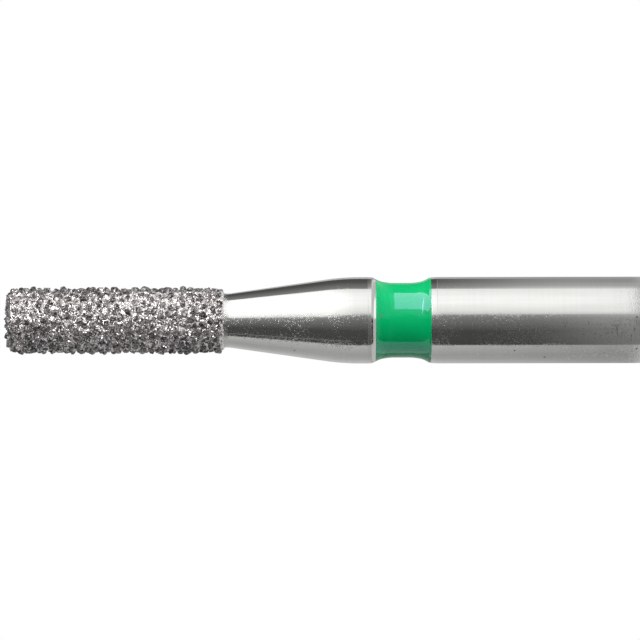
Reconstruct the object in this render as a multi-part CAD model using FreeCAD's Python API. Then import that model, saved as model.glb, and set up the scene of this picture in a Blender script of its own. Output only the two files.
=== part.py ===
"""Dental bur with a cylindrical diamond head, standing on the end of its shank.

The row frame is in millimetres: the origin is the centre of the shank's end face and
+Z runs along the bur's axis, up to the tip of the head. Four pieces make the bur:
the turned steel blank, the lacquer ring in its groove, the nickel bond plated on the
head's core, and the diamond grains that stand out of that bond.
"""

import FreeCAD, Part

import math
import os
import random

# Steel blank: lengths along the axis, from the shank's end face up to the core's tip
SHANK_LENGTH = 11.09
GROOVE_WIDTH = 1.03
COLLAR_LENGTH = 0.60
NECK_LENGTH = 2.11
CORE_LENGTH = 4.05

# Steel blank: diameters. The core is turned in one pass with the neck's thin end
SHANK_DIAMETER = 1.60
GROOVE_DIAMETER = 1.22
CORE_DIAMETER = 1.00

# Steel blank: edges and blends. The shank ends in a ground face with its edge just broken
SHANK_END_BREAK = 0.02
SHANK_LIP_LENGTH = 0.12
SHANK_LIP_DROP = 0.010
COLLAR_LIP_LENGTH = 0.13
COLLAR_LIP_DROP = 0.020
NECK_BLEND_RADIUS = 4.5
NECK_FOOT_RADIUS = 0.6
CORE_TIP_CHAMFER = 0.08

# Lacquer ring: its surface climbs from a straight waist to both lips of the groove
WAIST_DIAMETER = 1.37
WAIST_LENGTH = 0.20
LACQUER_UNDER_LIP = 0.03

# Nickel bond: a plated layer over the core that runs out on the neck
BOND_THICKNESS = 0.055
BOND_START = 0.11
BOND_RUN_OUT = 0.07
BOND_TIP_ROUND = 0.14

# Diamond grains: octahedral crystals thrown at random on the bond, the largest first
LARGEST_GRAIN = 0.176
SMALLEST_GRAIN = 0.110
GRAIN_SINK = 0.016
GRAIN_SINK_SPREAD = 0.012
GRAIN_CLEARANCE = 0.002
GRAINS_THROWN = 5200
GRAIN_SEED = 12

# Levels and radii that follow from the sizes above
GROOVE_BOTTOM = SHANK_LENGTH
GROOVE_TOP = GROOVE_BOTTOM + GROOVE_WIDTH
COLLAR_TOP = GROOVE_TOP + COLLAR_LENGTH
NECK_FOOT = COLLAR_TOP + NECK_LENGTH
CORE_TIP = NECK_FOOT + CORE_LENGTH
BOND_FOOT = NECK_FOOT + BOND_START
BOND_TIP = CORE_TIP + BOND_THICKNESS
SHANK_RADIUS = SHANK_DIAMETER / 2
GROOVE_RADIUS = GROOVE_DIAMETER / 2
CORE_RADIUS = CORE_DIAMETER / 2
WAIST_RADIUS = WAIST_DIAMETER / 2
BOND_RADIUS = CORE_RADIUS + BOND_THICKNESS
SHANK_LIP_RADIUS = SHANK_RADIUS - SHANK_LIP_DROP
COLLAR_LIP_RADIUS = SHANK_RADIUS - COLLAR_LIP_DROP

ORIGIN = FreeCAD.Vector(0, 0, 0)
UP = FreeCAD.Vector(0, 0, 1)
FULL_TURN = 360
QUARTER_TURN = math.pi / 2


def section_point(radius, level):
    """A point of a half section, which lies in the plane of X and Z."""
    return FreeCAD.Vector(radius, 0, level)


def rounded_corner(before, corner, after, radius):
    """The start, middle and end of the arc that rounds one corner of an outline."""
    to_before = (before - corner).normalize()
    to_after = (after - corner).normalize()
    half_angle = to_before.getAngle(to_after) / 2
    setback = radius / math.tan(half_angle)
    bisector = (to_before + to_after).normalize()
    centre = corner + bisector * (radius / math.sin(half_angle))
    return corner + to_before * setback, centre - bisector * radius, corner + to_after * setback


def half_section(corners):
    """A closed planar face through (radius, level, rounding) corners, in their order."""
    points = [section_point(radius, level) for radius, level, _ in corners]
    arcs = []
    for i, (point, (_, _, rounding)) in enumerate(zip(points, corners)):
        if rounding > 0:
            after = points[(i + 1) % len(points)]
            arcs.append(rounded_corner(points[i - 1], point, after, rounding))
        else:
            arcs.append((point, None, point))
    edges = []
    for i, (start, middle, end) in enumerate(arcs):
        edges.append(Part.makeLine(arcs[i - 1][2], start))
        if middle is not None:
            edges.append(Part.Arc(start, middle, end).toShape())
    return Part.Face(Part.Wire(edges))


def turned(section):
    """The solid that a half section makes in a full turn about the bur's axis."""
    return section.revolve(ORIGIN, UP, FULL_TURN)


def blank_section():
    """Half section of the blank: shank, grooved collar, tapered neck and core."""
    return half_section(
        [
            (0, 0, 0),
            (SHANK_RADIUS - SHANK_END_BREAK, 0, 0),
            (SHANK_RADIUS, SHANK_END_BREAK, 0),
            (SHANK_RADIUS, GROOVE_BOTTOM - SHANK_LIP_LENGTH, 0),
            (SHANK_LIP_RADIUS, GROOVE_BOTTOM, 0),
            (GROOVE_RADIUS, GROOVE_BOTTOM, 0),
            (GROOVE_RADIUS, GROOVE_TOP, 0),
            (COLLAR_LIP_RADIUS, GROOVE_TOP, 0),
            (SHANK_RADIUS, GROOVE_TOP + COLLAR_LIP_LENGTH, 0),
            (SHANK_RADIUS, COLLAR_TOP, NECK_BLEND_RADIUS),
            (CORE_RADIUS, NECK_FOOT, NECK_FOOT_RADIUS),
            (CORE_RADIUS, CORE_TIP - CORE_TIP_CHAMFER, 0),
            (CORE_RADIUS - CORE_TIP_CHAMFER, CORE_TIP, 0),
            (0, CORE_TIP, 0),
        ]
    )


def meniscus_arc(lip_radius, lip_level, waist_level):
    """The arc that leaves the waist straight and climbs to the lacquer's edge at a lip."""
    edge = section_point(lip_radius - LACQUER_UNDER_LIP, lip_level)
    waist = section_point(WAIST_RADIUS, waist_level)
    rise = edge.x - waist.x
    run = edge.z - waist.z
    bend = (rise * rise + run * run) / (2 * rise)
    half_turn = math.asin(abs(run) / bend) / 2
    middle = section_point(
        waist.x + bend * (1 - math.cos(half_turn)),
        waist.z + math.copysign(bend * math.sin(half_turn), run),
    )
    return waist, middle, edge


def lacquer_section():
    """Half section of the lacquer ring, from the groove's bottom out to the meniscus."""
    centre = (GROOVE_BOTTOM + GROOVE_TOP) / 2
    low_waist, low_middle, low_edge = meniscus_arc(
        SHANK_LIP_RADIUS, GROOVE_BOTTOM, centre - WAIST_LENGTH / 2
    )
    high_waist, high_middle, high_edge = meniscus_arc(
        COLLAR_LIP_RADIUS, GROOVE_TOP, centre + WAIST_LENGTH / 2
    )
    low_root = section_point(GROOVE_RADIUS, GROOVE_BOTTOM)
    high_root = section_point(GROOVE_RADIUS, GROOVE_TOP)
    return Part.Face(
        Part.Wire(
            [
                Part.makeLine(low_root, low_edge),
                Part.Arc(low_edge, low_middle, low_waist).toShape(),
                Part.makeLine(low_waist, high_waist),
                Part.Arc(high_waist, high_middle, high_edge).toShape(),
                Part.makeLine(high_edge, high_root),
                Part.makeLine(high_root, low_root),
            ]
        )
    )


def bond_section(blank):
    """Half section of the nickel: what lies inside its outer surface and outside the steel."""
    filled = half_section(
        [
            (0, BOND_FOOT - BOND_RUN_OUT, 0),
            (CORE_RADIUS, BOND_FOOT - BOND_RUN_OUT, 0),
            (BOND_RADIUS, BOND_FOOT, 0),
            (BOND_RADIUS, BOND_TIP, BOND_TIP_ROUND),
            (0, BOND_TIP, 0),
        ]
    )
    return filled.cut(blank)


def coat_outline(along):
    """Radius, level and upward lean of the coat's surface at a distance along its outline."""
    side = BOND_TIP - BOND_TIP_ROUND - BOND_FOOT
    if along < side:
        return BOND_RADIUS, BOND_FOOT + along, 0
    lean = min((along - side) / BOND_TIP_ROUND, QUARTER_TURN)
    flat = along - side - BOND_TIP_ROUND * lean
    radius = BOND_RADIUS - BOND_TIP_ROUND * (1 - math.cos(lean)) - flat
    return radius, BOND_TIP - BOND_TIP_ROUND * (1 - math.sin(lean)), lean


def random_seat(dice):
    """A point of the coat and its outward direction, with every spot of the surface alike."""
    side = BOND_TIP - BOND_TIP_ROUND - BOND_FOOT
    outline = side + BOND_TIP_ROUND * QUARTER_TURN + BOND_RADIUS - BOND_TIP_ROUND
    radius, level, lean = coat_outline(dice.uniform(0, outline))
    while dice.uniform(0, BOND_RADIUS) > radius:
        radius, level, lean = coat_outline(dice.uniform(0, outline))
    turn = dice.uniform(0, 4 * QUARTER_TURN)
    across = FreeCAD.Vector(math.cos(turn), math.sin(turn), 0)
    return across * radius + UP * level, across * math.cos(lean) + UP * math.sin(lean)


def whole_crystal():
    """A regular octahedron about the origin, 1 mm across its corners."""
    belt = [FreeCAD.Vector(x, y, 0) for x, y in ((0.5, 0), (0, 0.5), (-0.5, 0), (0, -0.5))]
    faces = []
    for pole in (UP * 0.5, UP * -0.5):
        for i, corner in enumerate(belt):
            faces.append(Part.Face(Part.makePolygon([belt[i - 1], corner, pole, belt[i - 1]])))
    solid = Part.Solid(Part.Shell(faces))
    return solid if solid.Volume > 0 else solid.reversed()


def crystal_reach(size, turn, direction):
    """How far an octahedron reaches from its centre in a direction."""
    along = turn.inverted().multVec(direction)
    return size / 2 * max(abs(along.x), abs(along.y), abs(along.z))


def has_room(crystal, others):
    """Whether a (centre, size, turn) crystal stays clear of all the others."""
    centre, size, turn = crystal
    for other_centre, other_size, other_turn in others:
        apart = other_centre - centre
        distance = apart.Length
        if distance > (size + other_size) / 2 + GRAIN_CLEARANCE:
            continue
        reach = crystal_reach(size, turn, apart / distance)
        other_reach = crystal_reach(other_size, other_turn, apart / distance)
        if reach + other_reach + GRAIN_CLEARANCE > distance:
            return False
    return True


def laid_crystals():
    """The crystals that found room, each with its seat, from the largest to the smallest."""
    dice = random.Random(GRAIN_SEED)
    laid = []
    for thrown in range(GRAINS_THROWN):
        size = LARGEST_GRAIN + (SMALLEST_GRAIN - LARGEST_GRAIN) * thrown / GRAINS_THROWN
        seat, outward = random_seat(dice)
        sink = GRAIN_SINK + dice.uniform(-GRAIN_SINK_SPREAD, GRAIN_SINK_SPREAD)
        turn = FreeCAD.Rotation(*[dice.uniform(0, FULL_TURN) for _ in range(3)])
        crystal = (seat - outward * sink, size, turn)
        if has_room(crystal, [other for other, _ in laid]):
            laid.append((crystal, (seat, outward)))
    return laid


def diamond_grains():
    """All the grains: each crystal is cut flat where it meets the bond's surface."""
    whole = whole_crystal()
    corner = FreeCAD.Vector(-LARGEST_GRAIN, -LARGEST_GRAIN, -LARGEST_GRAIN)
    bond = Part.makeBox(2 * LARGEST_GRAIN, 2 * LARGEST_GRAIN, LARGEST_GRAIN, corner)
    grains = []
    for (centre, size, turn), (seat, outward) in laid_crystals():
        crystal = whole.copy()
        crystal.scale(size)
        crystal.Placement = FreeCAD.Placement(centre, turn)
        bond.Placement = FreeCAD.Placement(seat, FreeCAD.Rotation(UP, outward))
        grains += crystal.cut(bond).Solids
    return Part.makeCompound(grains)


def main():
    os.makedirs("parts", exist_ok=True)
    blank = blank_section()
    parts = {
        "steel_blank": turned(blank),
        "lacquer_ring": turned(lacquer_section()),
        "nickel_bond": turned(bond_section(blank)),
        "diamond_grains": diamond_grains(),
    }
    for name, shape in parts.items():
        shape.exportStep(os.path.join("parts", name + ".step"))
        print(name, len(shape.Solids), "solids", round(shape.Volume, 4), "mm3")


main()
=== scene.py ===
"""Dental bur: its steel blank, lacquer ring, nickel bond and diamond grains, and a small studio round it.

The bur stands on the end of its shank, with +Z along its axis, and all lengths are in metres. Each piece is
a finer copy of the solid of the same name, so it stays where that solid is.
"""

import math
import random

import bmesh
import bpy
import numpy as np
from mathutils import Matrix, Quaternion, Vector, noise
from mathutils.kdtree import KDTree


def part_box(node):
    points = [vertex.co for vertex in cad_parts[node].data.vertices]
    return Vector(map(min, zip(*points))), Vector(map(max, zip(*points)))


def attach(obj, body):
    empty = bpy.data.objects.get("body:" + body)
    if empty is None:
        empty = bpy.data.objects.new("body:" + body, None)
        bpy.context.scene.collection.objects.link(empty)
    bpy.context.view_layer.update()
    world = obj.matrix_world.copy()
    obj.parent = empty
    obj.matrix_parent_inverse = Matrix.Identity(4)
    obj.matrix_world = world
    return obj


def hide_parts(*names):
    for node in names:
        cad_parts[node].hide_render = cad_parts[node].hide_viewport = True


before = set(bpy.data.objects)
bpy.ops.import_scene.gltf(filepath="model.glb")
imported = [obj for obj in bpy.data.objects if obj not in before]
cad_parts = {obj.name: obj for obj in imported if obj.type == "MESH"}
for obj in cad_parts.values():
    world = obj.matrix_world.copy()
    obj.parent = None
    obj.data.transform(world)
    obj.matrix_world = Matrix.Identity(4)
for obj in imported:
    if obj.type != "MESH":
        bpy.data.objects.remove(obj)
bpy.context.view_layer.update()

bl_info = {
    "name": "Dental Bur",
    "version": (1, 0, 0),
    "blender": (4, 5, 0),
    "location": "3D View > Sidebar > Bur",
    "description": "Models a diamond dental bur with its finishes, and a small studio around it",
    "category": "Add Mesh",
}

BLANK_LOW, BLANK_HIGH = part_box("steel_blank")
RING_LOW, RING_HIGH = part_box("lacquer_ring")
BOND_LOW, BOND_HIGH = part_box("nickel_bond")
BODY = "root"

MM = 0.001
FULL_TURN = 2 * math.pi
QUARTER_TURN = math.pi / 2
AXIS = Vector((0, 0, 1))

# The groove's edge at the shank, where the lacquer has run a hair over it
GROOVE_LOW = RING_LOW.z + 0.018 * MM

# The photograph's frame: its side in pixels, its scale, and where the bur lies in it
PICTURE_SIDE = 640
PIXELS_PER_MM = 54.0
TIP_COLUMN = 4.0
AXIS_BELOW_MIDDLE = 0.55
AXIS_TILT = math.radians(-0.09)
BUR_LENGTH = 19 * MM
MIDDLE_LEVEL = BUR_LENGTH - (PICTURE_SIDE / 2 - TIP_COLUMN) / PIXELS_PER_MM * MM
SENSOR_WIDTH, LENS = 36.0, 200.0
CAMERA_DISTANCE = PICTURE_SIDE / PIXELS_PER_MM * MM * LENS / SENSOR_WIDTH

# How finely the turned pieces are divided
TURNED_STEPS = 160
ARC_STEPS = 12
SUPPORT_GAP = 0.004 * MM
LONGEST_RUN = 0.3 * MM
MERGE_DISTANCE = 1e-9

# Sockets of the Mix node when it mixes colours
MIX_FACTOR, MIX_A, MIX_B, MIX_RESULT = 0, 6, 7, 2


def share(name, description, default, **kind):
    """A plain factor that a user can set, or a number of another kind."""
    return bpy.props.FloatProperty(name=name, description=description, default=default, min=0.0, **kind)


def size(name, description, default):
    """A length that a user can set."""
    return share(name, description, default, precision=6, unit="LENGTH", subtype="DISTANCE")


def power(name, description, default):
    """A lamp's power that a user can set."""
    return share(name, description, default, unit="POWER")


def colour(name, description, default):
    """A colour that a user can set."""
    return bpy.props.FloatVectorProperty(
        name=name, description=description, default=default, size=3, min=0.0, max=1.0, subtype="COLOR",
    )


class BurBlank(bpy.types.PropertyGroup):
    """Sizes of the turned steel blank, which run from the shank's end up to the core's tip."""

    shank_radius: size("Shank radius", "Radius of the plain shank", BLANK_HIGH.x)
    groove_radius: size("Groove radius", "Radius of the groove under the lacquer", 0.61 * MM)
    core_radius: size("Core radius", "Radius of the core under the coat", 0.50 * MM)
    collar_length: size("Collar length", "Length of the collar above the groove", 0.60 * MM)
    neck_length: size("Neck length", "Length of the tapered neck", 2.11 * MM)
    end_break: size("End break", "Width of the broken edge at the shank's end", 0.02 * MM)
    shank_lip_length: size("Shank lip length", "Length of the slope at the shank's lip", 0.118 * MM)
    shank_lip_drop: size("Shank lip drop", "How far the shank's lip is turned down", 0.008 * MM)
    shank_lip_round: size("Shank lip round", "Radius that rounds the shank's lip", 0.014 * MM)
    collar_rim_length: size("Collar rim length", "Length of the steep rim at the collar's lip", 0.060 * MM)
    collar_rim_drop: size("Collar rim drop", "How far that rim slopes down", 0.0325 * MM)
    collar_rim_round: size("Collar rim round", "Radius that rounds the collar into its rim", 0.13 * MM)
    collar_lip_length: size("Collar lip length", "Distance from the lip to the collar's line", 0.136 * MM)
    collar_lip_drop: size("Collar lip drop", "How far the collar slopes down from its line", 0.0050 * MM)
    mark_width: size("Mark width", "Width of a line left by the turning tool", 0.018 * MM)
    mark_depth: size("Mark depth", "Depth of a line left by the turning tool", 0.0030 * MM)
    neck_blend: size("Neck blend", "Radius that blends the collar into the neck", 4.5 * MM)
    neck_foot_blend: size("Neck foot blend", "Radius that blends the neck into the core", 0.6 * MM)
    core_chamfer: size("Core chamfer", "Width of the chamfer at the core's tip", 0.08 * MM)


class BurRing(bpy.types.PropertyGroup):
    """Sizes of the lacquer ring in the groove, whose surface climbs to both lips in two bends."""

    waist_radius: size("Waist radius", "Radius of the lacquer at its thinnest", 0.692 * MM)
    waist_start: size("Waist start", "Distance from the shank's lip to the straight waist", 0.41 * MM)
    waist_end: size("Waist end", "Distance from the straight waist to the collar's lip", 0.35 * MM)
    slow_bend: size("Slow bend", "Radius of the bends that leave the waist", 1.15 * MM)
    fast_bend: size("Fast bend", "Radius of the bends that meet the lips", 0.43 * MM)
    shank_edge: size("Edge at the shank", "How far short of the shank's lip the bend ends", 0.028 * MM)
    over_lip: size("Over the lip", "How far the lacquer runs on past the shank's edge", 0.010 * MM)


class BurCoat(bpy.types.PropertyGroup):
    """Sizes of the plated nickel and the grains that it holds."""

    bond_radius: size("Bond radius", "Radius of the nickel between the grains", BOND_HIGH.x)
    foot_level: size("Foot level", "Where the nickel reaches its full thickness", 14.985 * MM)
    edge_width: size("Edge width", "Width of the thin edge of the nickel on the neck", 0.06 * MM)
    tip_level: size("Tip level", "Level of the flat tip between the grains", BOND_HIGH.z - 0.03 * MM)
    tip_round: size("Tip round", "Radius that rounds the rim of the flat tip", 0.17 * MM)
    largest: size("Largest grain", "Width of the largest grain", 0.130 * MM)
    smallest: size("Smallest grain", "Width of the smallest grain", 0.050 * MM)
    gap: size("Gap", "Nickel left between neighbouring grains", 0.020 * MM)
    sink: size("Sink", "How deep a grain's centre lies under the nickel's surface", 0.002 * MM)
    sink_spread: size("Sink spread", "How much that depth varies", 0.016 * MM)
    ridge_height: size("Ridge height", "How far the nickel climbs up round a grain", 0.032 * MM)
    ridge_width: size("Ridge width", "Width of the nickel's ridge round a grain", 0.018 * MM)
    thrown: bpy.props.IntProperty(name="Thrown", description="Grains thrown at it", default=26000, min=1)
    seed: bpy.props.IntProperty(name="Seed", description="Seed of the scatter", default=7)


class BurFinish(bpy.types.PropertyGroup):
    """Colours of the finishes."""

    steel: colour("Steel", "Reflection of the polished steel", (0.78, 0.78, 0.76))
    lacquer: colour("Lacquer", "Colour of the lacquer", (0.0, 0.47, 0.146))
    nickel: colour("Nickel", "Reflection of the plated nickel", (0.95, 0.91, 0.90))
    diamond_dark: colour("Dark diamond", "Colour of the dark grains", (0.035, 0.031, 0.031))
    diamond_pale: colour("Pale diamond", "Colour of the pale grains", (0.74, 0.685, 0.685))


class BurStudio(bpy.types.PropertyGroup):
    """The lamps, the cards and the floor."""

    card_distance: size("Card distance", "How far the cards stand from the bur", 60 * MM)
    card_reach: size("Card reach", "Depth of the cards below the floor, half their height", 110 * MM)
    floor_radius: size("Floor radius", "Radius of the pale floor", 70 * MM)
    ambient: share("Ambient", "Strength of the plain light from all round", 0.05)
    key_power: power("Key power", "Power of the soft lamp", 0.076)
    top_power: power("Top power", "Power of the lamp above", 0.04)
    gloss_power: power("Gloss power", "Power of the lamp that only glosses the lacquer", 0.088)
    low_gloss_power: power("Low gloss power", "Power of the lower one that only glosses it", 0.022)


def settings_of(group, name, description):
    """A group of settings."""
    return bpy.props.PointerProperty(name=name, description=description, type=group)


class BurSettings(bpy.types.PropertyGroup):
    """All that a user can change on the bur."""

    blank: settings_of(BurBlank, "Blank", "Sizes of the blank")
    ring: settings_of(BurRing, "Ring", "Sizes of the lacquer ring")
    coat: settings_of(BurCoat, "Coat", "Sizes of the coat")
    finish: settings_of(BurFinish, "Finish", "Colours of the finishes")
    studio: settings_of(BurStudio, "Studio", "Lamps and cards")


class Profile:
    """A line in the plane of X and Z, drawn with runs and arcs, that is then turned about the axis."""

    def __init__(self, radius, level):
        self.mesh = bmesh.new()
        self.first = self.last = self.mesh.verts.new((radius, 0, level))

    def to_vertex(self, vertex):
        self.mesh.edges.new((self.last, vertex))
        self.last = vertex

    def to_point(self, radius, level):
        self.to_vertex(self.mesh.verts.new((radius, 0, level)))

    def run(self, radius, level, longest=LONGEST_RUN):
        """A straight run, with a close point at each end so that shading bends only there."""
        start, end = self.last.co.copy(), Vector((radius, 0, level))
        length = (end - start).length
        if length < MERGE_DISTANCE:
            return
        pieces = max(1, math.ceil(length / longest))
        places = [piece / pieces for piece in range(1, pieces + 1)]
        if length > 4 * SUPPORT_GAP:
            places = sorted(places + [SUPPORT_GAP / length, 1 - SUPPORT_GAP / length])
        for place in places:
            self.to_vertex(self.mesh.verts.new(start.lerp(end, place)))

    def arc(self, radius, level, centre_radius, centre_level):
        """An arc about a centre to the point given."""
        centre = Vector((centre_radius, 0, centre_level))
        start, end = self.last.co - centre, Vector((radius, 0, level)) - centre
        spun = bmesh.ops.spin(
            self.mesh, geom=[self.last], cent=centre, axis=start.cross(end).normalized(),
            angle=start.angle(end), steps=ARC_STEPS,
        )
        self.last = spun["geom_last"][0]

    def turned(self, steps):
        """The closed mesh that the line makes in a full turn."""
        bmesh.ops.spin(
            self.mesh, geom=self.mesh.verts[:] + self.mesh.edges[:], cent=(0, 0, 0), axis=AXIS,
            angle=FULL_TURN, steps=steps, use_merge=True,
        )
        bmesh.ops.remove_doubles(self.mesh, verts=self.mesh.verts, dist=MERGE_DISTANCE)
        bmesh.ops.dissolve_degenerate(self.mesh, dist=MERGE_DISTANCE, edges=self.mesh.edges)
        bmesh.ops.recalc_face_normals(self.mesh, faces=self.mesh.faces)
        return self.mesh


def follow(corners):
    """A profile through (radius, level, rounding) corners, in their order, with the round ones as arcs."""
    profile = Profile(*corners[0][:2])
    for before, corner, after in zip(corners, corners[1:], corners[2:]):
        place = Vector((corner[0], 0, corner[1]))
        to_before = (Vector((before[0], 0, before[1])) - place).normalized()
        to_after = (Vector((after[0], 0, after[1])) - place).normalized()
        if corner[2] == 0:
            profile.run(place.x, place.z)
            continue
        half_angle = to_before.angle(to_after) / 2
        setback = corner[2] / math.tan(half_angle)
        centre = place + (to_before + to_after).normalized() * (corner[2] / math.sin(half_angle))
        start, end = place + to_before * setback, place + to_after * setback
        profile.run(start.x, start.z)
        profile.arc(end.x, end.z, centre.x, centre.z)
    profile.run(*corners[-1][:2])
    return profile


def new_object(name, mesh, material):
    """An object in the scene from a bmesh."""
    data = bpy.data.meshes.new(name)
    mesh.to_mesh(data)
    mesh.free()
    data.materials.append(material)
    made = bpy.data.objects.new(name, data)
    bpy.context.scene.collection.objects.link(made)
    return made


def finished_piece(name, mesh, material, smooth=True):
    """A piece of the bur from a bmesh, riding on the bur's body."""
    piece = new_object(name, mesh, material)
    piece.data.polygons.foreach_set("use_smooth", [smooth] * len(piece.data.polygons))
    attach(piece, BODY)
    return piece


def feed(tree, node, inputs):
    """The outputs of a node whose inputs are each fed by a value or by another node's socket."""
    for name, value in inputs.items():
        if isinstance(value, bpy.types.NodeSocket):
            tree.links.new(value, node.inputs[name])
        else:
            node.inputs[name].default_value = value
    return node.outputs


def put(tree, kind, inputs=None, **settings):
    """The outputs of a new shader node with its settings and inputs."""
    node = tree.nodes.new("ShaderNode" + kind)
    for name, value in settings.items():
        setattr(node, name, value)
    return feed(tree, node, inputs or {})


def math_node(tree, operation, first, second=0.0):
    """The result of one sum on two numbers or sockets."""
    return put(tree, "Math", {0: first, 1: second}, operation=operation)[0]


def total(tree, first, second):
    return math_node(tree, "ADD", first, second)


def product(tree, first, *others):
    """The product of numbers or sockets."""
    for other in others:
        first = math_node(tree, "MULTIPLY", first, other)
    return first


def vector_node(tree, operation, first, second=(0, 0, 0)):
    """The result of one sum on two vectors."""
    return put(tree, "VectorMath", {0: first, 1: second}, operation=operation)[0]


def scaled(tree, value, low, high, to_low=0.0, to_high=1.0, smooth=False):
    """A value mapped from one range to another, and held inside it."""
    return put(
        tree, "MapRange", {0: value, 1: low, 2: high, 3: to_low, 4: to_high}, clamp=True,
        interpolation_type="SMOOTHSTEP" if smooth else "LINEAR",
    )[0]


def blended(tree, factor, first, second):
    """The colour between two colours."""
    return put(tree, "Mix", {MIX_FACTOR: factor, MIX_A: first, MIX_B: second}, data_type="RGBA")[MIX_RESULT]


def between(tree, factor, first, second):
    """The number between two numbers."""
    return put(tree, "Mix", {0: factor, 2: first, 3: second}, data_type="FLOAT")[0]


def ramp(tree, value, low, high, stops):
    """The brightness at a value between low and high, from (value, brightness) stops."""
    highest = max(brightness for _, brightness in stops)
    node = tree.nodes.new("ShaderNodeValToRGB")
    elements = node.color_ramp.elements
    while len(elements) < len(stops):
        elements.new(1.0)
    for element, (place, brightness) in zip(elements, stops):
        element.position = (place - low) / (high - low)
        element.color = (*[brightness / highest] * 3, 1.0)
    return product(tree, feed(tree, node, {0: scaled(tree, value, low, high)})[0], highest)


def solid_colour(value, factor=1.0):
    """A colour made darker or brighter, with full alpha."""
    return (*[channel * factor for channel in value], 1.0)


def new_group(name, inputs, **outputs):
    """An empty shader node group that takes a place and numbers, with its inputs and its output node."""
    tree = bpy.data.node_groups.new(name, "ShaderNodeTree")
    tree.interface.new_socket("Place", in_out="INPUT", socket_type="NodeSocketVector")
    for socket, default in inputs.items():
        made = tree.interface.new_socket(socket, in_out="INPUT", socket_type="NodeSocketFloat")
        made.default_value = default
    for socket, kind in outputs.items():
        tree.interface.new_socket(socket, in_out="OUTPUT", socket_type=kind)
    return tree, tree.nodes.new("NodeGroupInput").outputs, tree.nodes.new("NodeGroupOutput")


def turning_group(name):
    """Fine rings left by turning and polishing, which change only along the axis, and slowly round it."""
    tree, given, result = new_group(name, {"Pitch": 0.02 * MM}, Height="NodeSocketFloat")
    apart = put(tree, "SeparateXYZ", {0: given["Place"]})
    slow = math_node(tree, "DIVIDE", 0.03, given["Pitch"])
    fast = math_node(tree, "DIVIDE", 1.0, given["Pitch"])
    stretched = put(tree, "CombineXYZ", {
        0: product(tree, apart[0], slow), 1: product(tree, apart[1], slow), 2: product(tree, apart[2], fast),
    })[0]
    rings = put(tree, "TexNoise", {"Vector": stretched, "Scale": 1.0, "Detail": 3.0})[0]
    feed(tree, result, {"Height": rings})
    return tree


def mottle_group(name):
    """Soft irregular patches of a given size."""
    tree, given, result = new_group(name, {"Size": 0.1 * MM}, Mask="NodeSocketFloat")
    scale = math_node(tree, "DIVIDE", 1.0, given["Size"])
    patches = put(tree, "TexNoise", {"Vector": given["Place"], "Scale": scale, "Detail": 4.0})[0]
    feed(tree, result, {"Mask": scaled(tree, patches, 0.3, 0.7)})
    return tree


def hairline_group(name):
    """Thin curved scratches, where a slow noise crosses its middle value."""
    tree, given, result = new_group(name, {"Size": 0.5 * MM, "Width": 0.01}, Mask="NodeSocketFloat")
    scale = math_node(tree, "DIVIDE", 1.0, given["Size"])
    slow = put(tree, "TexNoise", {"Vector": given["Place"], "Scale": scale, "Detail": 1.0})[0]
    off_middle = math_node(tree, "ABSOLUTE", math_node(tree, "SUBTRACT", slow, 0.5))
    line = scaled(tree, math_node(tree, "DIVIDE", off_middle, given["Width"]), 0.0, 1.0, 1.0, 0.0)
    some = put(tree, "TexNoise", {
        "Vector": given["Place"], "Scale": product(tree, scale, 2.3), "Detail": 1.0,
    })[0]
    feed(tree, result, {"Mask": product(tree, line, scaled(tree, some, 0.52, 0.6))})
    return tree


def crystal_face_group(name):
    """A surface broken into small flat faces, each tilted its own way."""
    tree, given, result = new_group(
        name, {"Size": 0.03 * MM, "Tilt": 0.5}, Normal="NodeSocketVector", Tone="NodeSocketFloat",
    )
    scale = math_node(tree, "DIVIDE", 1.0, given["Size"])
    cells = put(tree, "TexVoronoi", {"Vector": given["Place"], "Scale": scale})["Color"]
    turned = vector_node(tree, "SUBTRACT", cells, (0.5, 0.5, 0.5))
    lean = put(
        tree, "VectorMath", {0: turned, "Scale": product(tree, given["Tilt"], 2.0)},
        operation="SCALE",
    )[0]
    surface = put(tree, "NewGeometry")["Normal"]
    feed(tree, result, {
        "Normal": vector_node(tree, "NORMALIZE", vector_node(tree, "ADD", surface, lean)),
        "Tone": put(tree, "SeparateXYZ", {0: cells})[0],
    })
    return tree


GROUPS = {
    "turning marks": turning_group,
    "mottle": mottle_group,
    "hairlines": hairline_group,
    "crystal faces": crystal_face_group,
}


def placed(tree, name, **inputs):
    """The outputs of a shared group with a material's own values, built when it is first asked for."""
    group = bpy.data.node_groups.get(name) or GROUPS[name](name)
    return put(tree, "Group", inputs, node_tree=group)


def mottle(tree, place, patch):
    """A mask of soft patches of a size."""
    return placed(tree, "mottle", Place=place, Size=patch)["Mask"]


def new_material(name):
    """An empty material, its node tree, and the surface's own place in it."""
    material = bpy.data.materials.new(name)
    material.use_nodes = True
    tree = material.node_tree
    tree.nodes.clear()
    return material, tree, put(tree, "TexCoord")["Object"]


def principled(material, inputs):
    """The material, ended in a Principled shader with these inputs."""
    shader = put(material.node_tree, "BsdfPrincipled", inputs)[0]
    put(material.node_tree, "OutputMaterial", {"Surface": shader})
    return material


def bumped(tree, height, distance, **under):
    """The normal of a surface with a bump of a given real height."""
    return put(tree, "Bump", {"Height": height, "Distance": distance, "Strength": 1.0, **under})[0]


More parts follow.
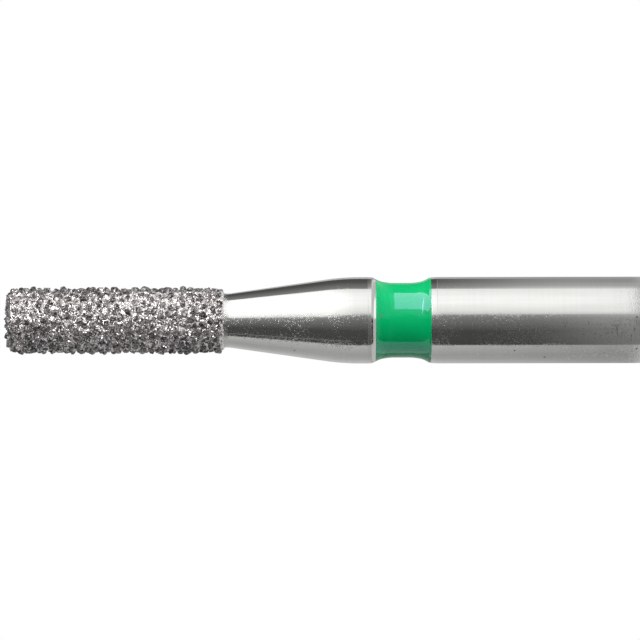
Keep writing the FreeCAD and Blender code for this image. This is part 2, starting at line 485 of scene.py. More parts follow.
# Small marks on the near side, in millimetres: their level, how far over the axis they are as the bur lies,
# the bur's radius there and their own
PITS = (
    (13.6176, -0.5514, 0.67, 0.010), (9.5776, -0.5590, 0.80, 0.010), (9.4170, -0.4630, 0.80, 0.005),
    (9.0170, -0.6836, 0.80, 0.012), (7.9307, -0.6053, 0.80, 0.006), (7.3406, -0.5275, 0.80, 0.012),
    (7.3490, 0.0521, 0.80, 0.010),
)
BRIGHT_MARKS = (
    (13.8548, -0.2652, 0.64, 0.010), (13.0377, 0.6728, 0.78, 0.010), (8.3360, -0.1455, 0.80, 0.007),
)
LACQUER_MARKS = ((12.0216, 0.0742, 0.72, 0.012), (11.1529, 0.1748, 0.78, 0.010))
MARK_EDGE = 2.2
MARK_BROWN = (0.20, 0.15, 0.11, 1.0)

# Where the steel's finish changes along the bur, and across it below the axis as it lies
WORN_SHANK = (7.8 * MM, 9.8 * MM)
DULLED_SHANK = (8.5 * MM, 10.5 * MM)
WORN_COLLAR = (12.1 * MM, 12.8 * MM)
FAINT_LINE = 12.81 * MM
FROSTED_NECK = (14.78 * MM, 14.90 * MM)
LOWER_SIDE = (0.08 * MM, 0.16 * MM)

# Real heights of the relief on each finish
RING_RELIEF, SPOT_RELIEF, SCRATCH_RELIEF = 0.00002 * MM, 0.00006 * MM, 0.0004 * MM
LACQUER_RELIEF, NICKEL_RELIEF = 0.0006 * MM, 0.0015 * MM


def marked(tree, place, marks):
    """A mask of small round marks at places of the near side."""
    mask = 0.0
    for level, over, radius, reach in marks:
        centre = Vector((over, -math.sqrt(radius * radius - over * over), level)) * MM
        distance = put(tree, "VectorMath", {0: place, 1: centre}, operation="DISTANCE")["Value"]
        spot = scaled(tree, distance, reach * MM, MARK_EDGE * reach * MM, 1.0, 0.0)
        mask = math_node(tree, "MAXIMUM", mask, spot)
    return mask


def steel_material(finish):
    """Turned and polished steel, hazed where it was handled and frosted where it runs into the coat."""
    material, tree, place = new_material("polished steel")
    fine = placed(tree, "turning marks", Place=place, Pitch=0.010 * MM)["Height"]
    broad = placed(tree, "turning marks", Place=place, Pitch=0.05 * MM)["Height"]
    spots, haze = mottle(tree, place, 0.030 * MM), mottle(tree, place, 0.5 * MM)
    streaks = mottle(tree, vector_node(tree, "MULTIPLY", place, (1.0, 1.0, 0.06)), 0.07 * MM)
    over, _, level = put(tree, "SeparateXYZ", {0: place})
    under = scaled(tree, over, *LOWER_SIDE, 1.0, 0.0)
    scratches = placed(tree, "hairlines", Place=place, Size=0.34 * MM, Width=0.010)["Mask"]
    scratches = product(tree, scratches, under)
    off_line = math_node(tree, "ABSOLUTE", math_node(tree, "SUBTRACT", level, FAINT_LINE))
    faint_line = scaled(tree, off_line, 0.004 * MM, 0.012 * MM, 1.0, 0.0)

    worn = product(tree, scaled(tree, broad, 0.35, 0.65), 0.3)
    worn = total(tree, worn, product(tree, streaks, 0.7))
    tone = blended(tree, worn, solid_colour(finish.steel, 1.03), solid_colour(finish.steel, 0.95))
    tone = blended(tree, marked(tree, place, PITS), tone, solid_colour(finish.steel, 0.25))

    handled = scaled(tree, level, *WORN_SHANK, 0.9, 1.4)
    handled = total(tree, handled, scaled(tree, level, *WORN_COLLAR, 0.0, 0.85))
    handled = product(tree, handled, scaled(tree, under, 0.0, 1.0, 0.3, 1.0))
    satin = product(tree, scaled(tree, haze, 0.1, 0.9, 0.07, 0.27), handled)
    satin = product(tree, scaled(tree, spots, 0.35, 1.0), satin)
    rough = total(tree, satin, scaled(tree, level, *DULLED_SHANK, 0.028, 0.05))
    frost = scaled(tree, level, *FROSTED_NECK, smooth=True)
    frost = product(tree, frost, scaled(tree, spots, 0.3, 0.8, 0.3, 1.0))
    bright = marked(tree, place, BRIGHT_MARKS)
    for mask, added in ((frost, 0.30), (scratches, 0.28), (faint_line, 0.1), (bright, 0.5)):
        rough = total(tree, rough, product(tree, mask, added))

    normal = bumped(tree, fine, RING_RELIEF)
    normal = bumped(tree, spots, SPOT_RELIEF, Normal=normal)
    normal = bumped(tree, scratches, SCRATCH_RELIEF, Normal=normal)
    return principled(material, {"Base Color": tone, "Metallic": 1.0, "Roughness": rough, "Normal": normal})


def lacquer_material(finish):
    """Glossy green lacquer, with a tint in its reflection."""
    material, tree, place = new_material("green lacquer")
    patches, fine = mottle(tree, place, 0.3 * MM), mottle(tree, place, 0.06 * MM)
    tone = blended(tree, patches, solid_colour(finish.lacquer), solid_colour(finish.lacquer, 0.92))
    return principled(material, {
        "Base Color": blended(tree, marked(tree, place, LACQUER_MARKS), tone, MARK_BROWN),
        "Roughness": scaled(tree, fine, 0.0, 1.0, 0.04, 0.07),
        "IOR": 1.5,
        "Specular Tint": (0.50, 0.45, 1.0, 1.0),
        "Normal": bumped(tree, patches, LACQUER_RELIEF),
    })


def nickel_material(finish):
    """Plated nickel, grown in small bright nodules."""
    material, tree, place = new_material("plated nickel")
    patches, fine = mottle(tree, place, 0.05 * MM), mottle(tree, place, 0.020 * MM)
    nodules = placed(tree, "crystal faces", Place=place, Size=0.024 * MM, Tilt=0.50)
    return principled(material, {
        "Base Color": blended(tree, patches, solid_colour(finish.nickel), solid_colour(finish.nickel, 0.9)),
        "Metallic": 1.0,
        "Roughness": scaled(tree, patches, 0.0, 1.0, 0.06, 0.18),
        "Normal": bumped(tree, fine, NICKEL_RELIEF, Normal=nodules["Normal"]),
    })


def diamond_material(finish):
    """Diamond, dark or pale by grain and by cleavage, with painted sparkle face by face and nickel on some
    faces.
    """
    material, tree, place = new_material("diamond")
    flaws = mottle(tree, place, 0.03 * MM)
    cleaved = placed(tree, "crystal faces", Place=place, Size=0.028 * MM, Tilt=0.60)
    grain = put(tree, "Attribute", attribute_name="tone")["Fac"]
    facet_sparkle_and_nickel = put(tree, "Attribute", attribute_name="facet_sparkle_and_nickel")["Fac"]
    # A random value on each face adds painted sparkle to the grain's own tone, and with the cleavage it also
    # picks the faces that carry nickel
    pale = scaled(tree, product(tree, total(tree, grain, facet_sparkle_and_nickel), cleaved["Tone"]), 0.2, 1.3)
    metal = total(tree, product(tree, facet_sparkle_and_nickel, 0.5), product(tree, cleaved["Tone"], 0.5))
    dark_tone, pale_tone = solid_colour(finish.diamond_dark), solid_colour(finish.diamond_pale)
    return principled(material, {
        "Base Color": blended(tree, pale, dark_tone, pale_tone),
        "Metallic": scaled(tree, metal, 0.62, 0.66),
        "Roughness": scaled(tree, flaws, 0.0, 1.0, 0.08, 0.25),
        "IOR": 2.4,
        "Normal": cleaved["Normal"],
    })


# The collar's fine line: what is left there of the collar's slope, and its depth against the shank's line
SLOPE_AT_LINE, LINE_DEPTH = 0.2, 0.6


def neck_foot_level(blank):
    return RING_HIGH.z + blank.collar_length + blank.neck_length


def neck_radius(blank, level):
    """Radius of the steel near the neck's thin end, before its blend into the core."""
    taper = (blank.shank_radius - blank.core_radius) / blank.neck_length
    return blank.core_radius + taper * max(0.0, neck_foot_level(blank) - level)


def tool_mark(blank, level):
    """Corners of a fine line that the turning tool left round the blank's full radius."""
    radius, half = blank.shank_radius, blank.mark_width / 2
    return [(radius, level - half, 0), (radius - blank.mark_depth, level, 0), (radius, level + half, 0)]


class BUR_OT_make_blank(bpy.types.Operator):
    """Turns the steel blank: shank, groove, collar, tapered neck and core."""

    bl_idname = "bur.make_blank"
    bl_label = "Steel Blank"

    def execute(self, context):
        blank, finish = context.scene.bur.blank, context.scene.bur.finish
        groove_low, groove_high = GROOVE_LOW, RING_HIGH.z
        shank, core = blank.shank_radius, blank.core_radius
        land = shank - blank.collar_lip_drop
        line = groove_high + blank.collar_lip_length
        collar_top = groove_high + blank.collar_length
        tip = BLANK_HIGH.z
        profile = follow([
            (0, BLANK_LOW.z, 0),
            (shank - blank.end_break, BLANK_LOW.z, 0),
            (shank, BLANK_LOW.z + blank.end_break, 0),
            *tool_mark(blank, groove_low - blank.shank_lip_length - blank.mark_width / 2),
            (shank - blank.shank_lip_drop, groove_low, blank.shank_lip_round),
            (blank.groove_radius, groove_low, 0),
            (blank.groove_radius, groove_high, 0),
            (land - blank.collar_rim_drop, groove_high, 0),
            (land, groove_high + blank.collar_rim_length, blank.collar_rim_round),
            (shank - SLOPE_AT_LINE * blank.collar_lip_drop, line - 0.5 * blank.mark_width, 0),
            (shank - LINE_DEPTH * blank.mark_depth, line, 0),
            (shank, line + 0.5 * blank.mark_width, 0),
            (shank, collar_top, blank.neck_blend),
            (core, neck_foot_level(blank), blank.neck_foot_blend),
            (core, tip - blank.core_chamfer, 0),
            (core - blank.core_chamfer, tip, 0),
            (0, tip, 0),
        ])
        piece = finished_piece("bur_blank", profile.turned(TURNED_STEPS), steel_material(finish))
        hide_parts("steel_blank")
        return {"FINISHED"}


# How far the lacquer leans where its two bends meet, and how deep its edge lies against the shank's lip
BEND_LEAN = math.radians(10.5)
EDGE_DROP = 1.2


def climb(profile, slow, fast, waist_end, edge_level):
    """The waist of the lacquer as far as a level, and the two bends that lead on up to a lip at another."""
    towards = math.copysign(1, edge_level - waist_end)
    start = Vector((profile.last.co.x, 0, waist_end))
    profile.run(start.x, start.z)
    centre = start + Vector((slow, 0, 0))
    middle = centre + slow * Vector((-math.cos(BEND_LEAN), 0, towards * math.sin(BEND_LEAN)))
    profile.arc(middle.x, middle.z, centre.x, centre.z)
    centre = middle + fast * Vector((math.cos(BEND_LEAN), 0, -towards * math.sin(BEND_LEAN)))
    last_lean = math.asin((edge_level - centre.z) * towards / fast)
    end = centre + fast * Vector((-math.cos(last_lean), 0, towards * math.sin(last_lean)))
    profile.arc(end.x, end.z, centre.x, centre.z)


class BUR_OT_make_ring(bpy.types.Operator):
    """Fills the groove with the lacquer ring, whose surface climbs to both lips."""

    bl_idname = "bur.make_ring"
    bl_label = "Lacquer Ring"

    def execute(self, context):
        blank, ring, finish = context.scene.bur.blank, context.scene.bur.ring, context.scene.bur.finish
        low, high = GROOVE_LOW, RING_HIGH.z
        profile = Profile(ring.waist_radius, (low + high) / 2)
        climb(profile, ring.slow_bend, ring.fast_bend, high - ring.waist_end, high)
        profile.run(blank.groove_radius, high)
        profile.run(blank.groove_radius, low)
        groove_end, profile.last = profile.last, profile.first
        climb(profile, ring.slow_bend, ring.fast_bend, low + ring.waist_start, low + ring.shank_edge)
        profile.run(blank.shank_radius - EDGE_DROP * blank.shank_lip_drop, low - ring.over_lip)
        profile.to_vertex(groove_end)
        piece = finished_piece("bur_lacquer", profile.turned(TURNED_STEPS), lacquer_material(finish))
        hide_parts("lacquer_ring")
        return {"FINISHED"}


# How finely the nickel is divided: columns round it, the height of its rows, and its longest inner run
COAT_COLUMNS, COAT_CELL, INNER_RUN = 270, 0.0129 * MM, 4 * MM

# The nickel's hidden inner wall: how deep it is sunk in the neck, the slope that leads there, how far it
# reaches below the solid's edge, and the margin by which a point counts as part of it
SUNK, SUNK_SLOPE, SKIRT, INNER_MARGIN = 0.012 * MM, 0.02 * MM, 0.06 * MM, 0.01 * MM

# The nickel's edge on the neck: how far it wanders and over what length, the width in which it grows to its
# full thickness, and how deep its end lies in the steel
EDGE_WANDER, WANDER_LENGTH, EDGE_GROWTH, EDGE_SINK = 0.025 * MM, 0.07 * MM, 0.04 * MM, 0.004 * MM

# The nickel's relief: where its ridge stands as a share of the grain's width, how far it sinks between the
# grains as a share of the ridge, and the waves on it as (length, share of the ridge)
RIDGE_PLACE, HOLLOW = 0.48, 0.45
WAVES = ((0.06 * MM, 0.4), (0.024 * MM, 0.35))

# How fast the grains thrown get smaller, how many shapes they have, and the range of each shape's squeeze, of
# its cut corners and of its chips' depths and number
SIZE_FALL, CRYSTAL_SHAPES = 0.5, 24
SQUEEZES, CORNER_CUTS, CHIP_DEPTHS, CHIPS = (0.75, 1.05), (0.2, 0.45), (0.34, 0.5), (2, 3, 4)


def coat_outline(coat, along):
    """Point and outward direction, in the plane of X and Z, at a distance along the coat's outline."""
    side = coat.tip_level - coat.tip_round - coat.foot_level
    if along < side:
        return Vector((coat.bond_radius, 0, coat.foot_level + along)), Vector((1, 0, 0))
    lean = min((along - side) / coat.tip_round, QUARTER_TURN)
    flat = along - side - coat.tip_round * lean
    outward = Vector((math.cos(lean), 0, math.sin(lean)))
    rim_centre = Vector((coat.bond_radius - coat.tip_round - flat, 0, coat.tip_level - coat.tip_round))
    return rim_centre + outward * coat.tip_round, outward


def coat_length(coat):
    """Length of the coat's outline, up its side, round the rim and in to the axis."""
    side = coat.tip_level - coat.tip_round - coat.foot_level
    return side + coat.tip_round * QUARTER_TURN + coat.bond_radius - coat.tip_round


def grain_seats(coat):
    """Seats thrown at random on the coat, the largest first, as (point, outward direction, grain width)."""
    dice = random.Random(coat.seed)
    whole = coat_length(coat)
    points = np.zeros((coat.thrown, 3))
    widths = np.zeros(coat.thrown)
    seats = []
    for thrown in range(coat.thrown):
        width = coat.largest + (coat.smallest - coat.largest) * (thrown / coat.thrown) ** SIZE_FALL
        point, outward = coat_outline(coat, dice.uniform(0, whole))
        if dice.uniform(0, coat.bond_radius) > point.x:
            continue
        turn = Matrix.Rotation(dice.uniform(0, FULL_TURN), 3, "Z")
        point, outward = turn @ point, turn @ outward
        laid = len(seats)
        room = (widths[:laid] + width) / 2 + coat.gap
        if laid and (np.linalg.norm(points[:laid] - point, axis=1) < room).any():
            continue
        points[laid], widths[laid] = point, width
        seats.append((point, outward, width))
    return seats


def seat_tree(seats):
    """A search tree over the seats' points."""
    tree = KDTree(len(seats))
    for index, seat in enumerate(seats):
        tree.insert(seat[0], index)
    tree.balance()
    return tree


def coat_profile(blank, coat):
    """The nickel's outline before it climbs: its inner wall from the tip down, then its outside back up."""
    core, core_tip, skirt_low = blank.core_radius, BLANK_HIGH.z, BOND_LOW.z - SKIRT
    profile = Profile(0, core_tip)
    for radius, level in (
        (core - blank.core_chamfer, core_tip), (core, core_tip - blank.core_chamfer),
        (core, coat.foot_level), (core - SUNK, coat.foot_level - SUNK_SLOPE), (core - SUNK, skirt_low),
    ):
        profile.run(radius, level, longest=INNER_RUN)
    rows = math.ceil((coat.foot_level - skirt_low) / COAT_CELL)
    for row in range(1, rows + 1):
        profile.to_point(coat.bond_radius, skirt_low + (coat.foot_level - skirt_low) * row / rows)
    whole = coat_length(coat)
    rows = math.ceil(whole / COAT_CELL)
    for row in range(1, rows + 1):
        point = coat_outline(coat, whole * row / rows)[0]
        profile.to_point(point.x, point.z)
    return profile


def nearest_outward(coat, place):
    """Outward direction of the coat's ideal surface at a point on it."""
    across = Vector((place.x, place.y, 0))
    rim_radius = coat.bond_radius - coat.tip_round
    if place.z < coat.tip_level - coat.tip_round:
        return across.normalized()
    if across.length <= rim_radius:
        return AXIS.copy()
    centre = across.normalized() * rim_radius + AXIS * (coat.tip_level - coat.tip_round)
    return (place - centre).normalized()


def nickel_rise(coat, place, seats, found):
    """How far the nickel stands off its ideal surface: it climbs round each grain and sinks between."""
    rise = 0.0
    for _, index, distance in found:
        reach = seats[index][2] * RIDGE_PLACE
        rise = max(rise, math.exp(-(((distance - reach) / coat.ridge_width) ** 2)))
    waves = sum(noise.noise(place / length) * strength for length, strength in WAVES)
    return coat.ridge_height * (rise - HOLLOW + waves)


def plated(blank, coat, place, rise):
    """Where a point of the nickel's ideal surface comes to lie, which thins out to nothing on the neck."""
    outward = nearest_outward(coat, place)
    if place.z >= coat.foot_level:
        return place + outward * rise
    edge = coat.foot_level - coat.edge_width + EDGE_WANDER * noise.noise(place / WANDER_LENGTH)
    grown = min(1.0, max(0.0, (place.z - edge) / EDGE_GROWTH))
    skin = (coat.bond_radius - blank.core_radius) * grown * (2 - grown) - EDGE_SINK * (1 - grown)
    return outward * (neck_radius(blank, place.z) + skin + rise * grown * grown) + AXIS * place.z


class BUR_OT_make_bond(bpy.types.Operator):
    """Plates the head with nickel, which climbs round every grain and runs out raggedly on the neck."""

    bl_idname = "bur.make_bond"
    bl_label = "Nickel Bond"

    def execute(self, context):
        blank, coat, finish = context.scene.bur.blank, context.scene.bur.coat, context.scene.bur.finish
        mesh = coat_profile(blank, coat).turned(COAT_COLUMNS)
        seats = grain_seats(coat)
        tree = seat_tree(seats)
        search = coat.largest / 2 + 2.5 * coat.ridge_width
        inner_radius, inner_tip = blank.core_radius + INNER_MARGIN, BLANK_HIGH.z + INNER_MARGIN
        for vertex in mesh.verts:
            place = vertex.co
            if Vector((place.x, place.y)).length < inner_radius and place.z < inner_tip:
                continue
            rise = nickel_rise(coat, place, seats, tree.find_range(place, search))
            vertex.co = plated(blank, coat, place, rise)
        piece = finished_piece("bur_bond", mesh, nickel_material(finish))
        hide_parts("nickel_bond")
        return {"FINISHED"}


def random_direction(dice):
    """A direction, with all directions alike."""
    height = dice.uniform(-1, 1)
    turn = dice.uniform(0, FULL_TURN)
    across = math.sqrt(1 - height * height)
    return Vector((across * math.cos(turn), across * math.sin(turn), height))


def crystal(dice):
    """A blocky crystal about 1 wide: a cube with its corners cut, squeezed and chipped."""
    mesh = bmesh.new()
    bmesh.ops.create_cube(mesh, size=1.0)
    bmesh.ops.bevel(
        mesh, geom=mesh.verts[:], offset=dice.uniform(*CORNER_CUTS), affect="VERTICES", segments=1,
        profile=0.5, material=-1,
    )
    squeeze = Vector([dice.uniform(*SQUEEZES) for _ in range(3)])
    bmesh.ops.scale(mesh, vec=squeeze, verts=mesh.verts)
    for _ in range(dice.choice(CHIPS)):
        across = random_direction(dice)
        cut = bmesh.ops.bisect_plane(
            mesh, geom=mesh.verts[:] + mesh.edges[:] + mesh.faces[:],
            plane_co=across * dice.uniform(*CHIP_DEPTHS), plane_no=across, clear_outer=True,
        )
        rim = [edge for edge in cut["geom_cut"] if isinstance(edge, bmesh.types.BMEdge)]
        if rim:
            bmesh.ops.edgenet_fill(mesh, edges=rim)
    bmesh.ops.recalc_face_normals(mesh, faces=mesh.faces)
    shape = bpy.data.meshes.new("crystal")
    mesh.to_mesh(shape)
    mesh.free()
    return shape


class BUR_OT_make_grains(bpy.types.Operator):
    """Sets a chipped crystal in each seat of the coat."""

    bl_idname = "bur.make_grains"
    bl_label = "Diamond Grains"

    def execute(self, context):
        coat, finish = context.scene.bur.coat, context.scene.bur.finish
        dice = random.Random(coat.seed + 1)
        shapes = [crystal(dice) for _ in range(CRYSTAL_SHAPES)]
        mesh = bmesh.new()
        tones, facet_sparkles_and_nickel = [], []
        for point, outward, width in grain_seats(coat):
            shape = dice.choice(shapes)
            sink = coat.sink + dice.uniform(-coat.sink_spread, coat.sink_spread)
            turn = Quaternion(random_direction(dice), dice.uniform(0, FULL_TURN)).to_matrix().to_4x4()
            first = len(mesh.verts)
            mesh.from_mesh(shape)
            mesh.verts.ensure_lookup_table()
            place = Matrix.Translation(point - outward * sink) @ turn @ Matrix.Scale(width, 4)
            bmesh.ops.transform(mesh, matrix=place, verts=mesh.verts[first:])
            tone = dice.uniform(0, 1) ** 2
            tones += [tone] * len(shape.polygons)
            # A random value for each face: its painted sparkle, and whether nickel is left on it
            facet_sparkles_and_nickel += [dice.uniform(0, 1) for _ in shape.polygons]
        piece = finished_piece("bur_grains", mesh, diamond_material(finish), smooth=False)
        for name, values in (("tone", tones), ("facet_sparkle_and_nickel", facet_sparkles_and_nickel)):
            piece.data.attributes.new(name, "FLOAT", "FACE").data.foreach_set("value", values)
        for shape in shapes:
            bpy.data.meshes.remove(shape)
        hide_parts("diamond_grains")
        return {"FINISHED"}


# The light tent. Each row is an angle round the bur in degrees, 0 towards the camera and 90 over the bur as
# it lies in the picture, then the brightness there level with the neck and level with the shank
TABLE = ((-180, 0.52, 0.36), (-150, 0.60, 0.35), (-123, 0.44, 0.32), (-104, 0.40, 0.30), (-70.6, 0.55, 0.34))
LOWER_FLAG = ((-69, 0.06, 0.21), (-28, 0.07, 0.27), (-14, 0.13, 0.30), (6, 0.21, 0.40), (14, 0.32, 0.50))
SOFTBOX = ((16, 0.74, 0.70), (23, 0.92, 0.94), (46, 1.20, 1.07), (60, 1.20, 1.11), (91, 1.00, 1.02))
UPPER_FLAG = ((93, 0.26, 0.74), (104, 0.19, 0.47), (124, 0.09, 0.34), (144.5, 0.08, 0.33))
BACK = ((147, 0.56, 0.40), (180, 0.47, 0.36))
TENT = TABLE + LOWER_FLAG + SOFTBOX + UPPER_FLAG + BACK

# What shows below the cards, by its level in millimetres: on the softbox's side, the flag's and the table's
CARDS_FOOT = 2
UNDER_THE_SOFTBOX = (
    (-110, 1.2), (-55, 1.2), (-44, 0.62), (-9, 0.60), (-7.5, 0.80), (-3, 0.80), (-1, 0.55), (1, 0.50),
    (CARDS_FOOT, 0.45),
)
UNDER_THE_FLAG = ((-110, 0.52), (-60, 0.54), (-37, 0.55), (-30, 0.06), (-1, 0.05), (CARDS_FOOT, 0.26))
UNDER_THE_TABLE = 0.58

# A bright tube across the softbox by its level, and a pale rod up the lower flag by its angle: where each
# is, half its width, and how much it adds
TUBE_LEVEL, TUBE_HALF, TUBE_ADDS = 45.0, 3.5, 10.0
ROD_ANGLE, ROD_HALF, ROD_ADDS = -58.0, 1.3, 0.2

STAGE_STEPS = 96
FLOOR_GREY = (0.86, 0.86, 0.86, 1.0)
WHITE = (1.0, 1.0, 1.0, 1.0)


def leaning_angle(tree, angle, level):
    """The angle of the card seen at an angle and a level, since the cards' edges aren't quite upright."""
    past_softbox = math_node(tree, "MAXIMUM", math_node(tree, "SUBTRACT", angle, 54.0), 0.0)
    spread = product(tree, past_softbox, scaled(tree, level, 12.0, 31.0, 0.0, 0.12))
    lift = product(tree, scaled(tree, angle, -25, 0), scaled(tree, angle, 30, 50, 1.0, 0.0))
    lift = product(tree, lift, scaled(tree, level, 13.0, 28.0, 0.0, 5.0))
    return total(tree, math_node(tree, "SUBTRACT", angle, spread), lift)


def card_brightness(tree, angle, level):
    """Brightness of the cards, which fade from the shank's row of values to the neck's and then grow dim."""
    by_neck = ramp(tree, angle, -180, 180, [(turn, brightness) for turn, brightness, _ in TENT])
    by_shank = ramp(tree, angle, -180, 180, [(turn, brightness) for turn, _, brightness in TENT])
    low_fade = scaled(tree, level, 1.5, 6.5, smooth=True)
    high_fade = scaled(tree, level, 4.0, 11.0, smooth=True)
    late = total(tree, scaled(tree, angle, 60, 90), scaled(tree, angle, -72, -69, 0.5, 0.0))
    bands = between(tree, between(tree, late, low_fade, high_fade), by_shank, by_neck)
    softbox = product(tree, scaled(tree, angle, 14.5, 16), scaled(tree, angle, 91, 93.5, 1.0, 0.0))
    gain = product(tree, softbox, scaled(tree, level, 14, 26, 0.0, 0.30))
    bands = product(tree, bands, total(tree, gain, 1.0))
    tube = put(tree, "Math", {0: level, 1: TUBE_LEVEL, 2: TUBE_HALF}, operation="COMPARE")[0]
    tube = product(tree, tube, scaled(tree, angle, 24, 36), scaled(tree, angle, 62, 76, TUBE_ADDS, 0.0))
    rod = put(tree, "Math", {0: angle, 1: ROD_ANGLE, 2: ROD_HALF}, operation="COMPARE")[0]
    rod = product(tree, rod, scaled(tree, level, 15, 18, 0.0, ROD_ADDS))
    bands = total(tree, bands, total(tree, tube, rod))
    return product(tree, bands, scaled(tree, level, 52, 75, 1.0, 0.35))


def tent_material():
    """Pale and dark cards all round, seen only in reflections, each as bright as its angle and level say."""
    material, tree, place = new_material("studio tent")
    over, behind, level = put(tree, "SeparateXYZ", {0: place})
    level = math_node(tree, "DIVIDE", level, MM)
    angle = math_node(tree, "ARCTAN2", over, product(tree, behind, -1.0))
    angle = leaning_angle(tree, math_node(tree, "DEGREES", angle), level)
    under_high = ramp(tree, level, -110, CARDS_FOOT, UNDER_THE_SOFTBOX)
    under_low = ramp(tree, level, -110, CARDS_FOOT, UNDER_THE_FLAG)
    under_low = between(tree, scaled(tree, angle, -72, -66), UNDER_THE_TABLE, under_low)
    under = between(tree, scaled(tree, angle, 2, 12), under_low, under_high)
    foot = scaled(tree, level, CARDS_FOOT - 0.1, CARDS_FOOT + 0.1)
    brightness = between(tree, foot, under, card_brightness(tree, angle, level))
    light = put(tree, "Emission", {"Strength": brightness})[0]
    put(tree, "OutputMaterial", {"Surface": light})
    material.cycles.emission_sampling = "NONE"
    return material


def stage_object(name, mesh, material):
    """A stage object from a bmesh."""
    made = new_object(name, mesh, material)
    return made


def make_tent(studio):
    """The tent's cards as one round wall, with a floor of their own far below."""
    profile = Profile(0, -studio.card_reach)
    profile.to_point(studio.card_distance / 3, -studio.card_reach)
    profile.to_point(studio.card_distance, -studio.card_reach)
    profile.to_point(studio.card_distance, 2 * studio.card_reach)
    tent = stage_object("studio_tent", profile.turned(STAGE_STEPS), tent_material())
    tent.visible_camera = tent.visible_diffuse = tent.visible_shadow = tent.visible_volume_scatter = False


def make_floor(studio):
    """A pale floor that turns into the white background towards its edge."""
    material, tree, place = new_material("pale floor")
    distance = put(tree, "VectorMath", {0: place}, operation="LENGTH")["Value"]
    fade = scaled(tree, distance, 0.2 * studio.floor_radius, 0.95 * studio.floor_radius, smooth=True)
    pale = put(tree, "BsdfDiffuse", {"Color": FLOOR_GREY})[0]
    white = put(tree, "Emission", {"Color": WHITE, "Strength": 1.0})[0]
    mixed = put(tree, "MixShader", {0: fade, 1: pale, 2: white})[0]
    put(tree, "OutputMaterial", {"Surface": mixed})
    material.cycles.emission_sampling = "NONE"
    mesh = bmesh.new()
    bmesh.ops.create_circle(mesh, cap_ends=True, segments=STAGE_STEPS, radius=studio.floor_radius)
    stage_object("studio_floor", mesh, material).visible_glossy = False


def make_world(studio):
    """White behind everything that the camera, metal and glass show, and a plain soft light for the rest."""
    world = bpy.data.worlds.new("studio")
    bpy.context.scene.world = world
    world.use_nodes = True
    tree = world.node_tree
    tree.nodes.clear()
    path = put(tree, "LightPath")
    shown = math_node(tree, "MAXIMUM", path["Is Camera Ray"], path["Is Glossy Ray"])
    shown = math_node(tree, "MAXIMUM", shown, path["Is Transmission Ray"])
    strength = scaled(tree, shown, 0.0, 1.0, studio.ambient, 1.0)
    light = put(tree, "Background", {"Color": WHITE, "Strength": strength})[0]
    put(tree, "OutputWorld", {"Surface": light})


def round_the_bur(angle, distance, level):
    """A place by its angle in degrees as the cards have theirs, its distance and its level in millimetres."""
    turn = math.radians(angle)
    return (Vector((math.sin(turn), -math.cos(turn), 0)) * distance + AXIS * level) * MM


def make_lamp(name, strength, place, wide, high, aim, gloss_only=None):
    """A soft area lamp, sizes in millimetres, for matt surfaces only or for the gloss of one piece only."""
    light = bpy.data.lights.new(name, "AREA")
    light.shape = "RECTANGLE"
    light.size, light.size_y = wide * MM, high * MM
    light.energy = strength
    lamp = bpy.data.objects.new(name, light)
    lamp.location = place
    lamp.rotation_mode = "QUATERNION"
    lamp.rotation_quaternion = (aim - place).to_track_quat("-Z", "Y")
    lamp.visible_camera = False
    lamp.visible_glossy = gloss_only is not None
    lamp.visible_diffuse = gloss_only is None
    if gloss_only is not None:
        light.use_shadow = False
        lit = bpy.data.collections.new(name + " lit")
        lit.objects.link(gloss_only)
        lamp.light_linking.receiver_collection = lit
    bpy.context.scene.collection.objects.link(lamp)


def make_lamps(studio):
    """Two soft lamps for matt surfaces, and two that only gloss the lacquer."""
    aim = AXIS * 12 * MM
    make_lamp("key_lamp", studio.key_power, round_the_bur(55, 60, 16), 60, 90, aim)
    make_lamp("top_lamp", studio.top_power, Vector((10, 10, 90)) * MM, 80, 80, aim)
    ring = bpy.data.objects["bur_lacquer"]
    for name, strength, angle, distance, lowest, highest, wide in (
        ("gloss_lamp", studio.gloss_power, 63.6, 51.5, 9.6, 103, 57.6),
        ("low_gloss_lamp", studio.low_gloss_power, -95, 47, -60, 100, 43.8),
    ):
        middle = (lowest + highest) / 2
        place = round_the_bur(angle, distance, middle)
        make_lamp(name, strength, place, wide, highest - lowest, AXIS * middle * MM, gloss_only=ring)


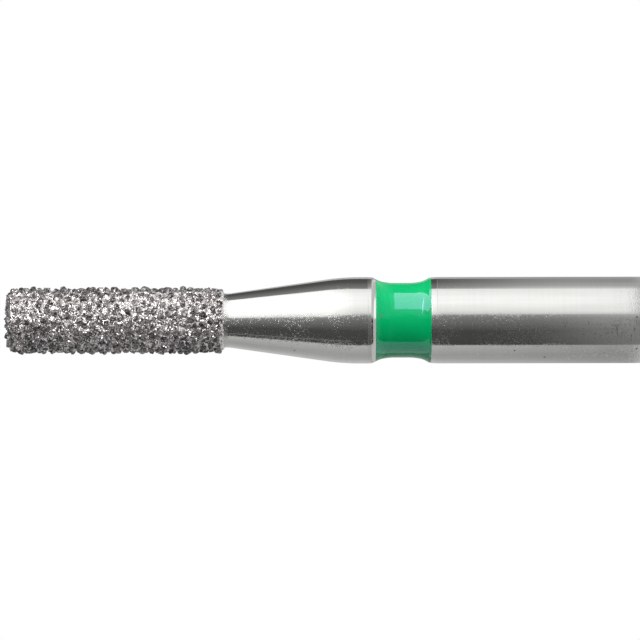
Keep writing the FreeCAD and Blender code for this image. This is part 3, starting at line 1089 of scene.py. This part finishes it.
def make_camera():
    """The photograph's view: the camera looks along +Y, with the bur's tip to the left."""
    lens = bpy.data.cameras.new("camera")
    lens.lens, lens.sensor_width = LENS, SENSOR_WIDTH
    lens.clip_start, lens.clip_end = 1 * MM, 1000 * MM
    camera = bpy.data.objects.new("camera", lens)
    right, up, back = Vector((0, 0, -1)), Vector((1, 0, 0)), Vector((0, -1, 0))
    roll = Quaternion(back, AXIS_TILT)
    turned = Matrix((roll @ right, roll @ up, back)).transposed().to_4x4()
    place = back * CAMERA_DISTANCE + AXIS * MIDDLE_LEVEL + up * (AXIS_BELOW_MIDDLE / PIXELS_PER_MM * MM)
    camera.matrix_world = Matrix.Translation(place) @ turned
    bpy.context.scene.collection.objects.link(camera)
    bpy.context.scene.camera = camera


class BUR_OT_make_stage(bpy.types.Operator):
    """Sets up the floor, the tent, the lamps, the white background and the camera."""

    bl_idname = "bur.make_stage"
    bl_label = "Studio"

    def execute(self, context):
        studio = context.scene.bur.studio
        context.scene.view_settings.view_transform = "Standard"
        make_world(studio)
        make_floor(studio)
        make_tent(studio)
        make_lamps(studio)
        make_camera()
        return {"FINISHED"}


class BUR_PT_panel(bpy.types.Panel):
    """Lists the bur's pieces and what can be set on each."""

    bl_label = "Dental Bur"
    bl_idname = "BUR_PT_panel"
    bl_space_type = "VIEW_3D"
    bl_region_type = "UI"
    bl_category = "Bur"

    def draw(self, context):
        settings = context.scene.bur
        for group, operators in (
            (settings.blank, ("bur.make_blank",)),
            (settings.ring, ("bur.make_ring",)),
            (settings.coat, ("bur.make_bond", "bur.make_grains")),
            (settings.finish, ()),
            (settings.studio, ("bur.make_stage",)),
        ):
            box = self.layout.box()
            for name in group.__annotations__:
                box.prop(group, name)
            for operator in operators:
                box.operator(operator)


CLASSES = (
    BurBlank, BurRing, BurCoat, BurFinish, BurStudio, BurSettings,
    BUR_OT_make_blank, BUR_OT_make_ring, BUR_OT_make_bond, BUR_OT_make_grains, BUR_OT_make_stage,
    BUR_PT_panel,
)


def register():
    for made in CLASSES:
        bpy.utils.register_class(made)
    bpy.types.Scene.bur = settings_of(BurSettings, "Bur", "The bur's settings")


def unregister():
    del bpy.types.Scene.bur
    for made in reversed(CLASSES):
        bpy.utils.unregister_class(made)


def main():
    register()
    bpy.ops.bur.make_blank()
    bpy.ops.bur.make_ring()
    bpy.ops.bur.make_bond()
    bpy.ops.bur.make_grains()
    bpy.ops.bur.make_stage()


if __name__ == "__main__":
    main()
